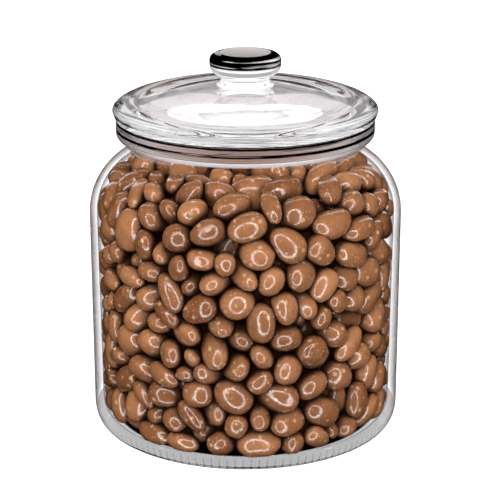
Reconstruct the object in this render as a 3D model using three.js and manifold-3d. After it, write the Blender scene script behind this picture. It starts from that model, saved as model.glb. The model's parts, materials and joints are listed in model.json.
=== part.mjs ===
// A wide glass storage jar filled with chocolate covered peanuts: the jar, its loose glass lid with
// a round knob, and the heap of peanuts inside it.
// Units are millimetres, +Z is up, and the origin is the middle of the face the jar stands on.
import * as THREE from 'three';
import { mergeVertices } from 'three/addons/utils/BufferGeometryUtils.js';
import Module from 'manifold-3d';

// Jar: body, base and heel
const bodyRadius = 92.3;
const wall = 4.2; // glass at the shoulder and the upper body
const wallSpread = 0.8; // how much thicker the wall is near the floor
const floorThickness = 4.2;
const heelReach = 5;
const heelHeight = 11;
const innerHeel = 8;
const baseRecess = 1.2;
const bearingWidth = 8;

// Jar: shoulder, neck and rim
const shoulderStart = 129;
const shoulderRadius = 39;
const neckRadius = 67.3;
const neckFillet = 2.5;
const rimRadius = 75.7;
const rimTop = 184.5;
const rimUnderside = 175.8; // where the rim's side and its slanting underside would meet
const rimRound = 4;
const lipRound = 0.8;
const mouthRound = 1.6;

// Lid: dome, flat seat and the shallow hollow under it
const seatGap = 0.3;
const lidRadius = 77.6;
const lidBrow = 190; // height of the widest part of the lid
const domeRise = 14.3;
const domeEnd = 78; // where the knob's foot takes over, in degrees along the dome's arc
const edgeInset = 1.9; // how far the lid's lower edge lies inside its widest part
const edgeRound = 1.2;
const hollowRadius = 61;
const hollowDepth = 7.5;
const hollowPower = 2.8; // the larger, the flatter the hollow's middle

// Knob
const knobTop = 223.1;
const knobRadius = 20.9;
const knobBrow = 219; // height of the knob's widest part
const knobDisc = 14.8; // radius of the flat disc on top
const knobShoulder = 213; // where the knob begins to narrow towards its waist
const knobShoulderRound = 6;
const knobWaist = 13.4;
const knobFoot = 16.4;
const footRound = 0.8;
const waistRound = 1;
const footHeight = 1.4;
const waistHeight = 4;

// Heap of peanuts
const clearance = 0.6; // from the glass
const heapLevel = 160.5; // height of the heap's top in the middle
const heapSlope = 4; // the heap is higher at the front and lower at the back by this
const heapRim = 1.5; // and higher beside the glass at the left and right
const nutRise = 4; // how far a peanut may stand out of the heap's top
const nutLength = 21.5;
const nutWidth = 16.5;
const nutThickness = 14;
const largestNut = 1.2; // of the mean size
const smallestNut = 0.86;
const nutTaper = 0.28;
const wallNuts = 172;
const topNuts = 28;
const nutSpacing = 0.7; // the least distance, of the mean diameter of two neighbours
const spotsDrawn = 90;
const farApart = 9; // counts as all the room there is
const coreInset = 8.5; // from the glass to the core that carries the peanuts
const coreSides = 18;
const coreBevel = 6;
const scrapTolerance = 0.05;
const turnSides = 36;
const seed = 4117;

const wasm = await Module();
wasm.setup();

// A repeatable random number from 0 to 1.
function makeRandom(start) {
  let state = start;
  return () => {
    state = (state * 1664525 + 1013904223) % 4294967296;
    return state / 4294967296;
  };
}

const corner = (r, z, round = 0, steps = 3) => ({ r, z, round, steps });

// The outline through some corners, each rounded to its own radius by an arc that touches both sides.
function roundedOutline(corners) {
  const points = [];
  corners.forEach((here, i) => {
    const place = new THREE.Vector2(here.r, here.z);
    if (here.round === 0 || i === 0 || i === corners.length - 1) {
      points.push(place);
      return;
    }
    const back = new THREE.Vector2(corners[i - 1].r, corners[i - 1].z).sub(place).normalize();
    const ahead = new THREE.Vector2(corners[i + 1].r, corners[i + 1].z).sub(place).normalize();
    const half = Math.acos(THREE.MathUtils.clamp(back.dot(ahead), -1, 1)) / 2;
    const middle = back.clone().add(ahead).normalize();
    const centre = place.clone().addScaledVector(middle, here.round / Math.sin(half));
    const start = place.clone().addScaledVector(back, here.round / Math.tan(half)).sub(centre);
    const turn = (Math.PI - 2 * half) * -Math.sign(back.cross(ahead));
    for (let k = 0; k <= here.steps; k += 1) {
      const arm = start.clone().rotateAround(new THREE.Vector2(), (turn * k) / here.steps);
      points.push(arm.add(centre));
    }
  });
  return points;
}

// Points on an arc about a centre, from one angle to another in degrees.
function arc(centreR, centreZ, reachR, reachZ, from, to, steps) {
  return Array.from({ length: steps + 1 }, (unused, k) => {
    const angle = THREE.MathUtils.degToRad(from + ((to - from) * k) / steps);
    return new THREE.Vector2(centreR + reachR * Math.cos(angle), centreZ + reachZ * Math.sin(angle));
  });
}

// A solid turned from an outline that starts and ends on the axis, with +Z up.
function turned(outline, sides) {
  const geometry = new THREE.LatheGeometry(outline, sides);
  geometry.rotateX(Math.PI / 2);
  return geometry;
}

// The shoulder and the neck's hollow curve, as one run from the body to the neck. The glass keeps
// its thickness, so the inner run is the outer one moved inwards by depth.
function shoulderRun(depth, steps) {
  const reach = shoulderRadius + neckFillet;
  const centreR = bodyRadius - shoulderRadius;
  const neckR = neckRadius + neckFillet;
  const rise = Math.sqrt(reach ** 2 - (neckR - centreR) ** 2);
  const meet = THREE.MathUtils.radToDeg(Math.atan2(rise, neckR - centreR));
  const neckZ = shoulderStart + rise;
  const outerRound = shoulderRadius - depth;
  const innerRound = neckFillet + depth;
  const shoulder = arc(centreR, shoulderStart, outerRound, outerRound, 0, meet, steps);
  const neck = arc(neckR, neckZ, innerRound, innerRound, meet + 180, 180, 2);
  return { points: [...shoulder, ...neck.slice(1)], neckR, neckZ };
}

// The outside of the jar, from the middle of its base up to the rim's outer edge.
function jarOutside() {
  const run = shoulderRun(0, 5);
  const ring = bodyRadius - heelReach;
  return [
    new THREE.Vector2(0, baseRecess),
    new THREE.Vector2(ring - bearingWidth - 3, baseRecess),
    new THREE.Vector2(ring - bearingWidth, 0),
    ...arc(ring, heelHeight, heelReach, heelHeight, -90, 0, 3),
    ...run.points,
    ...roundedOutline([
      corner(run.neckR - neckFillet * Math.SQRT1_2, run.neckZ + neckFillet * Math.SQRT1_2),
      corner(rimRadius, rimUnderside, rimRound, 2),
      corner(rimRadius, rimTop, lipRound, 1),
      corner(neckRadius, rimTop),
    ]).slice(0, -1),
  ];
}

// The inside of the jar, from the mouth down to the middle of its floor.
function jarInside() {
  const run = shoulderRun(wall, 4);
  const mouth = neckRadius - wall;
  const heelR = bodyRadius - wall - wallSpread - innerHeel;
  const lip = [corner(rimRadius, rimTop), corner(mouth, rimTop, mouthRound, 2), corner(mouth, run.neckZ)];
  return [
    ...roundedOutline(lip).slice(1),
    ...run.points.slice(0, -1).reverse(),
    ...arc(heelR, floorThickness + innerHeel, innerHeel, innerHeel, 0, -90, 2),
    new THREE.Vector2(0, floorThickness),
  ];
}

// The lid is one pressed piece: a thick domed plate with a flat seat round a shallow hollow, and
// a knob with a flat disc on top.
function lidOutline() {
  const seat = rimTop + seatGap;
  const hollow = [0, 0.35, 0.58, 0.76, 0.89, 1].map((share) => {
    const height = hollowDepth * (1 - share ** hollowPower);
    return new THREE.Vector2(hollowRadius * share, seat + height);
  });
  const dome = arc(0, lidBrow, lidRadius, domeRise, 0, domeEnd, 5);
  const foot = dome.at(-1).y;
  return [
    ...hollow,
    ...roundedOutline([
      corner(hollowRadius, seat),
      corner(lidRadius - edgeInset, seat, edgeRound, 2),
      corner(lidRadius, lidBrow),
    ]).slice(1, -1),
    ...dome.slice(0, -1),
    ...roundedOutline([
      corner(dome.at(-2).x, dome.at(-2).y),
      corner(knobFoot, foot, footRound, 1),
      corner(knobFoot, foot + footHeight, footRound, 1),
      corner(knobWaist, foot + waistHeight, waistRound, 1),
      corner(knobRadius, knobShoulder, knobShoulderRound, 3),
      corner(knobRadius, knobBrow),
    ]).slice(1, -1),
    ...arc(knobDisc, knobBrow, knobRadius - knobDisc, knobTop - knobBrow, 0, 90, 4),
    new THREE.Vector2(0, knobTop),
  ];
}

// How high the heap reaches over a point: it lies a little higher at the front and at the sides.
function heapTop(x, y) {
  const span = neckRadius;
  return heapLevel - (heapSlope * y) / span + heapRim * (x / span) ** 2;
}

function solidFrom(geometry) {
  const bare = geometry.clone();
  bare.deleteAttribute('normal');
  bare.deleteAttribute('uv');
  const merged = mergeVertices(bare, 1e-4);
  return new wasm.Manifold(
    new wasm.Mesh({
      numProp: 3,
      vertProperties: merged.attributes.position.array,
      triVerts: new Uint32Array(merged.index.array),
    }),
  );
}

function geometryFrom(solid) {
  const mesh = solid.getMesh();
  const geometry = new THREE.BufferGeometry();
  geometry.setAttribute('position', new THREE.BufferAttribute(new Float32Array(mesh.vertProperties), 3));
  geometry.setIndex(new THREE.BufferAttribute(new Uint32Array(mesh.triVerts), 1));
  return geometry;
}

// The place at a given distance along an outline, and the direction that points away from it,
// to the left of the way along.
function alongOutline(outline, distance) {
  let left = distance;
  for (let i = 1; i < outline.length; i += 1) {
    const way = outline[i].clone().sub(outline[i - 1]);
    if (left <= way.length() || i === outline.length - 1) {
      way.normalize();
      const place = outline[i - 1].clone().addScaledVector(way, left);
      return { place, away: new THREE.Vector2(-way.y, way.x) };
    }
    left -= way.length();
  }
  return null;
}

const lengthOf = (outline) => outline.slice(1).reduce((sum, p, i) => sum + p.distanceTo(outline[i]), 0);

// One peanut: a low, uneven egg whose long axis is X and whose short axis is Z.
function nutGeometry(size, random) {
  const ball = new THREE.IcosahedronGeometry(0.5, 0);
  const geometry = mergeVertices(ball.deleteAttribute('normal').deleteAttribute('uv'));
  const taper = nutTaper * (random() - 0.5);
  const place = geometry.attributes.position;
  for (let i = 0; i < place.count; i += 1) {
    const narrow = 1 + taper * 2 * place.getX(i);
    const width = size.width * narrow;
    const thickness = size.thickness * narrow;
    place.setXYZ(i, place.getX(i) * size.length, place.getY(i) * width, place.getZ(i) * thickness);
  }
  return geometry;
}

// The sizes of a batch of peanuts, largest first.
function nutSizes(count, random) {
  const sizes = [];
  for (let i = 0; i < count; i += 1) {
    const scale = largestNut - ((largestNut - smallestNut) * i) / count;
    const roundness = random();
    sizes.push({
      length: nutLength * scale * (1.08 - 0.2 * roundness),
      width: nutWidth * scale * (0.92 + 0.2 * roundness),
      thickness: nutThickness * scale * (0.94 + 0.12 * random()),
    });
  }
  return sizes;
}

// Spreads peanuts evenly over a surface. Each goes to the spot, out of several drawn at random,
// that leaves the most room to the peanuts before it, and is skipped where that is too little.
function scatter(count, random, draw, before) {
  const placed = [];
  nutSizes(count, random).forEach((size) => {
    const radius = (size.length + size.width) / 4;
    const others = [...before, ...placed];
    const share = (spot, other) => other.spot.at.distanceTo(spot.at) / (radius + other.radius);
    const roomAround = (spot) => Math.min(farApart, ...others.map((other) => share(spot, other)));
    const spots = Array.from({ length: spotsDrawn }, () => draw(size)).filter((spot) => spot.free);
    const [best] = spots.map((spot) => ({ spot, room: roomAround(spot) })).sort((p, q) => q.room - p.room);
    if (best && best.room > nutSpacing) {
      placed.push({ spot: best.spot, size, radius });
    }
  });
  return placed;
}

// The inner wall from the floor's edge up to the neck, as the heap meets it.
function fillOutline() {
  const inside = jarInside();
  const first = inside.findIndex((p) => p.y < shoulderStart + shoulderRadius);
  return inside.slice(first, -1).reverse();
}

// Peanuts that lie against the glass.
function wallHeap(random) {
  const outline = fillOutline();
  const length = lengthOf(outline);
  const draw = (size) => {
    const { place, away } = alongOutline(outline, length * random());
    const angle = 2 * Math.PI * random();
    const depth = size.thickness / 2 + clearance;
    const r = place.x + away.x * depth;
    const at = new THREE.Vector3(r * Math.cos(angle), r * Math.sin(angle), place.y + away.y * depth);
    return {
      at,
      out: new THREE.Vector3(-away.x * Math.cos(angle), -away.x * Math.sin(angle), -away.y),
      roll: 2 * Math.PI * random(),
      free: at.z + size.thickness / 2 < heapTop(at.x, at.y) + nutRise,
    };
  };
  return scatter(wallNuts, random, draw, []);
}

// Peanuts on the heap's top.
function topHeap(random, beside) {
  const reach = neckRadius - wall - clearance - nutLength / 2;
  const draw = (size) => {
    const angle = 2 * Math.PI * random();
    const r = reach * Math.sqrt(random());
    const x = r * Math.cos(angle);
    const y = r * Math.sin(angle);
    return {
      at: new THREE.Vector3(x, y, heapTop(x, y) - size.thickness / 2 + (nutRise / 2) * random()),
      out: new THREE.Vector3(0, 0, 1),
      roll: 2 * Math.PI * random(),
      free: true,
    };
  };
  return scatter(topNuts, random, draw, beside);
}

// The core that carries the shown peanuts: a turned plug well inside the glass, under a sloping top.
function heapCore() {
  const run = shoulderRun(wall + coreInset, 3).points.slice(0, -1);
  const coreTop = heapLevel - nutThickness / 2;
  const side = bodyRadius - wall - wallSpread - coreInset;
  const sides = run.filter((p) => p.y < coreTop - 2);
  const outline = [
    new THREE.Vector2(0, floorThickness + clearance),
    new THREE.Vector2(side - coreBevel, floorThickness + clearance),
    new THREE.Vector2(side, floorThickness + coreBevel),
    ...sides,
    new THREE.Vector2(sides.at(-1).x - coreBevel, coreTop),
    new THREE.Vector2(0, coreTop),
  ];
  const geometry = turned(outline, coreSides);
  const place = geometry.attributes.position;
  for (let i = 0; i < place.count; i += 1) {
    const height = place.getZ(i);
    if (height > coreTop - 1) {
      const lift = heapTop(place.getX(i), place.getY(i)) - heapLevel;
      place.setZ(i, height + lift);
    }
  }
  return solidFrom(geometry);
}

// The inside radius of the glass at a height, less the clearance.
function roomAt(height, inside) {
  const above = inside.findIndex((p) => p.y <= height);
  const upper = inside[Math.max(above - 1, 0)];
  const lower = inside[Math.max(above, 0)];
  const share = upper.y === lower.y ? 0 : (height - lower.y) / (upper.y - lower.y);
  return lower.x + (upper.x - lower.x) * share - clearance;
}

// Moves a peanut in from the wall and up from the floor by as much as it would reach into them.
function keepClear(geometry, inside) {
  const place = geometry.attributes.position;
  const corners = Array.from({ length: place.count }, (unused, i) => i);
  const lift = Math.max(0, ...corners.map((i) => floorThickness + clearance - place.getZ(i)));
  geometry.translate(0, 0, lift);
  const inward = new THREE.Vector2();
  corners.forEach((i) => inward.sub(new THREE.Vector2(place.getX(i), place.getY(i))));
  inward.normalize();
  const excess = corners.map((i) => {
    const radius = Math.hypot(place.getX(i), place.getY(i));
    return radius - roomAt(place.getZ(i), inside);
  });
  const push = Math.max(0, ...excess) * 1.1; // a little over, as the wall slants
  geometry.translate(inward.x * push, inward.y * push, 0);
}

function nutSolid({ spot, size }, random, inside) {
  const geometry = nutGeometry(size, random);
  const lay = new THREE.Quaternion().setFromUnitVectors(new THREE.Vector3(0, 0, 1), spot.out);
  const spin = new THREE.Quaternion().setFromAxisAngle(new THREE.Vector3(0, 0, 1), spot.roll);
  geometry.applyQuaternion(lay.multiply(spin));
  geometry.translate(spot.at.x, spot.at.y, spot.at.z);
  keepClear(geometry, inside);
  keepClear(geometry, inside);
  return solidFrom(geometry);
}

// The heap as one solid, without any sealed gap or loose scrap that the joining leaves.
function peanutHeap() {
  const random = makeRandom(seed);
  const beside = wallHeap(random);
  const above = topHeap(random, beside);
  const inside = jarInside();
  let heap = heapCore();
  [...beside, ...above].forEach((nut) => {
    heap = heap.add(nutSolid(nut, random, inside));
  });
  const pieces = heap.decompose().sort((a, b) => b.volume() - a.volume());
  return geometryFrom(pieces[0].simplify(scrapTolerance));
}

const glass = new THREE.MeshStandardMaterial({
  color: 0xe9ecee,
  roughness: 0.05,
  metalness: 0,
  transparent: true,
  opacity: 0.3,
});
const lidGlass = glass.clone();
const chocolate = new THREE.MeshStandardMaterial({ color: 0x7d4c33, roughness: 0.35, metalness: 0 });

function named(name, geometry, material) {
  const mesh = new THREE.Mesh(geometry, material);
  mesh.name = name;
  return mesh;
}

const group = new THREE.Group();
group.add(named('jar', turned([...jarOutside(), ...jarInside()], turnSides), glass));
group.add(named('lid', turned(lidOutline(), turnSides), lidGlass));
group.add(named('peanut_heap', peanutHeap(), chocolate));

export default group;
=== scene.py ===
"""A wide glass storage jar with its loose glass lid, filled with chocolate covered peanuts.

Metres, +Z up, the origin in the middle of the face the jar stands on.
"""

import json
import math

import bmesh
import bpy
import numpy as np
from mathutils import Matrix, Vector

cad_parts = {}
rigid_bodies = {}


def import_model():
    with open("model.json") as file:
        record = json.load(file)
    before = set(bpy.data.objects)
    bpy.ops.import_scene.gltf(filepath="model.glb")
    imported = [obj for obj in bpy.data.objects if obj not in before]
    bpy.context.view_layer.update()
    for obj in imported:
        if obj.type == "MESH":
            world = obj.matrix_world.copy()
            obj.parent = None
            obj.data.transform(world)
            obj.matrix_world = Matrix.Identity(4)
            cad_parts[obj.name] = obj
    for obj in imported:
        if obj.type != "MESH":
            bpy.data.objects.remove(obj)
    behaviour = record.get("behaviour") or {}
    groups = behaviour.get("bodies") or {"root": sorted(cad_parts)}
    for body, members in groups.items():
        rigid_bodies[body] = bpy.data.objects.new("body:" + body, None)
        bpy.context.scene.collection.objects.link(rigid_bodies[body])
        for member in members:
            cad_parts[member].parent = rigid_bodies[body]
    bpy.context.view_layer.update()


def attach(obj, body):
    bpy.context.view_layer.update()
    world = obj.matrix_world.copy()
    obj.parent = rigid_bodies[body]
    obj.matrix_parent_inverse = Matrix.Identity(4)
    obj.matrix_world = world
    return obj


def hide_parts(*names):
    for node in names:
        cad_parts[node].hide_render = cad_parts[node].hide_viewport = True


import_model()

MM = 0.001

# Jar: body, base and heel
BODY_RADIUS = 92.3 * MM
WALL = 4.2 * MM
WALL_SPREAD = 0.8 * MM
FLOOR_THICKNESS = 4.2 * MM
HEEL_REACH = 5 * MM
HEEL_HEIGHT = 11 * MM
INNER_HEEL = 8 * MM
BASE_RECESS = 1.2 * MM
BEARING_WIDTH = 8 * MM

# Jar: shoulder, neck and rim
SHOULDER_START = 129 * MM
SHOULDER_RADIUS = 39 * MM
NECK_RADIUS = 67.3 * MM
NECK_FILLET = 2.5 * MM
RIM_RADIUS = 75.7 * MM
RIM_TOP = 184.5 * MM
RIM_UNDERSIDE = 175.8 * MM
RIM_ROUND = 4 * MM
LIP_ROUND = 0.8 * MM
MOUTH_ROUND = 1.6 * MM

# Lid: dome, flat seat and the shallow hollow under it
SEAT_GAP = 0.3 * MM
LID_RADIUS = 77.6 * MM
LID_BROW = 190 * MM
DOME_RISE = 14.3 * MM
DOME_END = 78  # where the knob's foot takes over, in degrees along the dome's arc
EDGE_INSET = 1.9 * MM
EDGE_ROUND = 1.2 * MM
HOLLOW_RADIUS = 61 * MM
HOLLOW_DEPTH = 7.5 * MM
HOLLOW_POWER = 2.8

# Knob
KNOB_TOP = 223.1 * MM
KNOB_RADIUS = 20.9 * MM
KNOB_BROW = 219 * MM
KNOB_DISC = 14.8 * MM
KNOB_SHOULDER = 213 * MM
KNOB_SHOULDER_ROUND = 6 * MM
KNOB_WAIST = 13.4 * MM
KNOB_FOOT = 16.4 * MM
FOOT_ROUND = 0.8 * MM
WAIST_ROUND = 1 * MM
FOOT_HEIGHT = 1.4 * MM
WAIST_HEIGHT = 4 * MM

# Heap of peanuts: its top, and the hidden core inside it
HEAP_LEVEL = 163.5 * MM
HEAP_SLOPE = 4 * MM
HEAP_RIM = 1.5 * MM
CORE_RADIUS = 56 * MM
CORE_DEPTH = 30 * MM
NUT_CLEARANCE = 0.15 * MM

# Glass: where it is even enough to show what lies behind it unbent
PLAIN_TO = 172.5 * MM
EDGE_SHADE = 0.6  # how much of the edge-on wall bends the light
BASE_HEIGHT = 6 * MM
BASE_SHADE = 0.5  # how much of the base bends the light
# Painted shade: the floor inside the jar is painted black up to FLOOR_DARK, fading out by FLOOR_CLEAR.
FLOOR_DARK = 79 * MM  # the floor inside the jar is dark up to this radius, and clear beyond the next
FLOOR_CLEAR = 82 * MM

# Glass: the heights of its painted dark lines, from the foot up, which stand for the dark surroundings that
# its edges bend into view
FOOT_LINE = 2 * MM
RIB_TOP = 7 * MM
# Painted dark ticks round the base, like small ribs bending the light; the mesh has no ribs
BASE_RIBS = 126.0  # small ribs round the base
GROUND_FROM = 173 * MM  # above this height the mouth's inner face is ground
UNDER_LINE = 176.6 * MM
RIM_LINE = 180 * MM
STREAK_LINE = 182.4 * MM
LID_EDGE = 185.4 * MM
BROW_LINE = 189.5 * MM
KNOB_BAND = 215.6 * MM

# Glass: the radii between which painted fine threads run through the lid, and its plainer margin, which has
# a painted grey band
DOME_CLEAR = 24 * MM
DOME_MARGIN = 58 * MM

# Glass: how fine its meshes are, and its tints
JAR_STEP = 2.2 * MM
LID_STEP = 1.5 * MM
GLASS_SIDES = 144
JAR_TINT = (0.985, 0.99, 0.99, 1)
LID_TINT = (0.90, 0.895, 0.91, 1)
RIM_TINT = (0.66, 0.58, 0.58, 1)
DISC_TINT = (0.6, 0.61, 0.61, 1)
UNBENT_TINT = (0.966, 0.961, 0.968, 1)
# The colour of the glass's painted dark lines
PAINTED_LINE_BLACK = (0.0, 0.0, 0.0, 1)

# Chocolate, painted shade: its colour is painted darkest inside the first distance from the axis, and clear
# of the painted shade beyond the next
DEEP_RADIUS = 71 * MM
SHOWN_RADIUS = 86 * MM
SHOWN_DEPTH = 8 * MM  # the same for its depth under the heap's top
SHADE_REACH = 9 * MM  # it is also darker where another peanut is closer than this
# Painted shade: the chocolate's colour deep in the heap and between close peanuts
PAINTED_SHADE_BROWN = (0.012, 0.004, 0.002, 1)
DARK_BROWN = (0.17, 0.060, 0.022, 1)
LIGHT_BROWN = (0.43, 0.188, 0.080, 1)
BEAD_BROWN = (0.58, 0.37, 0.20, 1)
# Painted shadow: the two near-black browns of the hidden core
CORE_SHADOW_BROWNS = (0.010, 0.004, 0.003, 1), (0.030, 0.012, 0.008, 1)

# Kinds of peanut: length, width and thickness in millimetres, and the share of each in the jar
NUT_KINDS = {
    "round": dict(size=(20.6, 19.0, 15.8), share=0.22, taper=0.05, bend=0.00),
    "oval": dict(size=(24.4, 18.0, 14.6), share=0.28, taper=0.06, bend=0.02),
    "egg": dict(size=(22.6, 16.8, 14.0), share=0.15, taper=0.18, bend=0.03),
    "slim": dict(size=(22.4, 12.6, 11.2), share=0.12, taper=0.07, bend=0.04),
    "bean": dict(size=(25.4, 15.4, 13.0), share=0.09, taper=0.06, bend=0.16),
    "small": dict(size=(15.6, 13.8, 12.2), share=0.14, taper=0.08, bend=0.00),
}
FORMS_PER_KIND = 6
NUT_SPREAD = (0.82, 1.12)
NUT_FILL = 0.635  # share of the space that the peanuts fill
OUTWARD_DRIFT = 0.02 * MM  # the peanuts are pressed outwards and downwards a little at each step
DOWNWARD_DRIFT = 0.008 * MM
NUT_SEED = 11
GLASS_NEAR = 22 * MM  # peanuts closer to the glass or to the heap's top than this are made finer
TOP_NEAR = 24 * MM
FINE, COARSE = 4, 3


# ---------------------------------------------------------------- outlines

def rounded(corners, steps=8):
    """The outline through corners (r, z, radius), each rounded by an arc that touches both its sides."""
    points = []
    for i, (r, z, radius) in enumerate(corners):
        here = np.array([r, z])
        if radius == 0 or i in (0, len(corners) - 1):
            points.append(here)
            continue
        back = np.array(corners[i - 1][:2]) - here
        ahead = np.array(corners[i + 1][:2]) - here
        back /= np.linalg.norm(back)
        ahead /= np.linalg.norm(ahead)
        half = math.acos(np.clip(back @ ahead, -1, 1)) / 2
        middle = (back + ahead) / np.linalg.norm(back + ahead)
        centre = here + middle * radius / math.sin(half)
        arm = here + back * radius / math.tan(half) - centre
        side = back[0] * ahead[1] - back[1] * ahead[0]
        for k in range(steps + 1):
            angle = -math.copysign(math.pi - 2 * half, side) * k / steps
            turn = np.array([[math.cos(angle), -math.sin(angle)], [math.sin(angle), math.cos(angle)]])
            points.append(centre + turn @ arm)
    return points


def arc(centre_r, centre_z, reach_r, reach_z, start, end, steps):
    """Points on an arc about a centre, from one angle to another in degrees."""
    angles = np.radians(np.linspace(start, end, steps + 1))
    return [np.array([centre_r + reach_r * math.cos(a), centre_z + reach_z * math.sin(a)]) for a in angles]


def shoulder_run(depth, steps):
    """The shoulder and the neck's hollow curve, moved inwards by depth, and the neck curve's centre."""
    reach = SHOULDER_RADIUS + NECK_FILLET
    centre_r = BODY_RADIUS - SHOULDER_RADIUS
    neck_r = NECK_RADIUS + NECK_FILLET
    rise = math.sqrt(reach ** 2 - (neck_r - centre_r) ** 2)
    meet = math.degrees(math.atan2(rise, neck_r - centre_r))
    neck_z = SHOULDER_START + rise
    outer, inner = SHOULDER_RADIUS - depth, NECK_FILLET + depth
    shoulder = arc(centre_r, SHOULDER_START, outer, outer, 0, meet, steps)
    neck = arc(neck_r, neck_z, inner, inner, meet + 180, 180, steps // 3)
    return shoulder + neck[1:], neck_r, neck_z


def jar_outline():
    """The jar's section, from the middle of the base round to the middle of the floor."""
    run, neck_r, neck_z = shoulder_run(0, 24)
    ring = BODY_RADIUS - HEEL_REACH
    flare = NECK_FILLET * math.sqrt(0.5)
    outside = [
        np.array([0, BASE_RECESS]),
        np.array([ring - BEARING_WIDTH - 3 * MM, BASE_RECESS]),
        np.array([ring - BEARING_WIDTH, 0]),
        *arc(ring, HEEL_HEIGHT, HEEL_REACH, HEEL_HEIGHT, -90, 0, 14),
        *run,
        *arc(neck_r, neck_z, NECK_FILLET, NECK_FILLET, 180, 135, 5)[1:-1],
    ]
    rim = rounded([
        (neck_r - flare, neck_z + flare, 0),
        (RIM_RADIUS, RIM_UNDERSIDE, RIM_ROUND),
        (RIM_RADIUS, RIM_TOP, LIP_ROUND),
        (NECK_RADIUS - WALL, RIM_TOP, MOUTH_ROUND),
        (NECK_RADIUS - WALL, neck_z, 0),
    ])
    inner_run = shoulder_run(WALL, 24)[0]
    heel_r = BODY_RADIUS - WALL - WALL_SPREAD - INNER_HEEL
    inside = [
        *inner_run[:-1][::-1],
        *arc(heel_r, FLOOR_THICKNESS + INNER_HEEL, INNER_HEEL, INNER_HEEL, 0, -90, 12),
        np.array([0, FLOOR_THICKNESS]),
    ]
    return outside + rim + inside


def lid_outline():
    """The lid's section, from the middle of its underside round to the middle of the knob's top."""
    seat = RIM_TOP + SEAT_GAP
    hollow = []
    for share in np.linspace(0, 1, 48):
        height = HOLLOW_DEPTH * (1 - share ** HOLLOW_POWER)
        hollow.append(np.array([HOLLOW_RADIUS * share, seat + height]))
    edge = rounded([
        (HOLLOW_RADIUS, seat, 0),
        (LID_RADIUS - EDGE_INSET, seat, EDGE_ROUND),
        (LID_RADIUS, LID_BROW, 0),
    ])
    dome = arc(0, LID_BROW, LID_RADIUS, DOME_RISE, 0, DOME_END, 48)
    foot = dome[-1][1]
    waist = rounded([
        (*dome[-2], 0),
        (KNOB_FOOT, foot, FOOT_ROUND),
        (KNOB_FOOT, foot + FOOT_HEIGHT, FOOT_ROUND),
        (KNOB_WAIST, foot + WAIST_HEIGHT, WAIST_ROUND),
        (KNOB_RADIUS, KNOB_SHOULDER, KNOB_SHOULDER_ROUND),
        (KNOB_RADIUS, KNOB_BROW, 0),
    ])
    crown = arc(KNOB_DISC, KNOB_BROW, KNOB_RADIUS - KNOB_DISC, KNOB_TOP - KNOB_BROW, 0, 90, 16)
    return hollow + edge[1:-1] + dome[:-1] + waist[1:-1] + crown + [np.array([0, KNOB_TOP])]


def evened(outline, longest):
    """The same outline with extra points, so that no stretch is longer than longest."""
    points = [outline[0]]
    for here in outline[1:]:
        gap = np.linalg.norm(here - points[-1])
        if gap < 1e-6:
            continue
        count = max(1, math.ceil(gap / longest))
        points += [points[-1] + (here - points[-1]) * k / count for k in range(1, count + 1)]
    return points


# ---------------------------------------------------------------- meshes

def linked(name, mesh):
    piece = bpy.data.objects.new(name, mesh)
    bpy.context.scene.collection.objects.link(piece)
    return piece


def turned(name, outline, sides):
    """A closed mesh turned about Z from an outline that starts and ends on the axis."""
    angles = np.arange(sides) * 2 * math.pi / sides
    ring = np.stack([np.cos(angles), np.sin(angles)], 1)
    inner = outline[1:-1]
    places = [(0, 0, outline[0][1])]
    for r, z in inner:
        places += [(r * c, r * s, z) for c, s in ring]
    places.append((0, 0, outline[-1][1]))
    last = len(places) - 1
    faces = []
    for j in range(sides):
        k = (j + 1) % sides
        faces.append((0, 1 + k, 1 + j))
        for row in range(len(inner) - 1):
            low, high = 1 + row * sides, 1 + (row + 1) * sides
            faces.append((low + j, low + k, high + k, high + j))
        end = 1 + (len(inner) - 1) * sides
        faces.append((end + j, end + k, last))
    mesh = bpy.data.meshes.new(name)
    mesh.from_pydata(places, [], faces)
    mesh.shade_smooth()
    return linked(name, mesh)


# ---------------------------------------------------------------- peanuts

def glass_gap(places):
    """How far places lie inside the glass, and the direction away from the glass."""
    radius = np.hypot(places[..., 0], places[..., 1]) + 1e-9
    height = places[..., 2]
    outwards = np.stack([places[..., 0] / radius, places[..., 1] / radius, 0 * radius], -1)
    thick = WALL + WALL_SPREAD * np.clip(1 - height / SHOULDER_START, 0, 1)
    gap = BODY_RADIUS - thick - radius
    away = -outwards
    bends = [
        (BODY_RADIUS - SHOULDER_RADIUS, SHOULDER_START, SHOULDER_RADIUS - WALL, 1),
        (BODY_RADIUS - WALL - WALL_SPREAD - INNER_HEEL, FLOOR_THICKNESS + INNER_HEEL, INNER_HEEL, -1),
    ]
    for centre_r, centre_z, reach, side in bends:
        out, up = radius - centre_r, (height - centre_z) * side
        distance = np.hypot(out, up) + 1e-9
        inside = (out > 0) & (up > 0)
        direction = -outwards * (out / distance)[..., None]
        direction[..., 2] = -side * up / distance
        gap = np.where(inside, reach - distance, gap)
        away = np.where(inside[..., None], direction, away)
    return gap, away


def heap_top(x, y):
    """The heap lies a little higher at the front and beside the glass."""
    return HEAP_LEVEL - HEAP_SLOPE * y / NECK_RADIUS + HEAP_RIM * (x / NECK_RADIUS) ** 2


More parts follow.
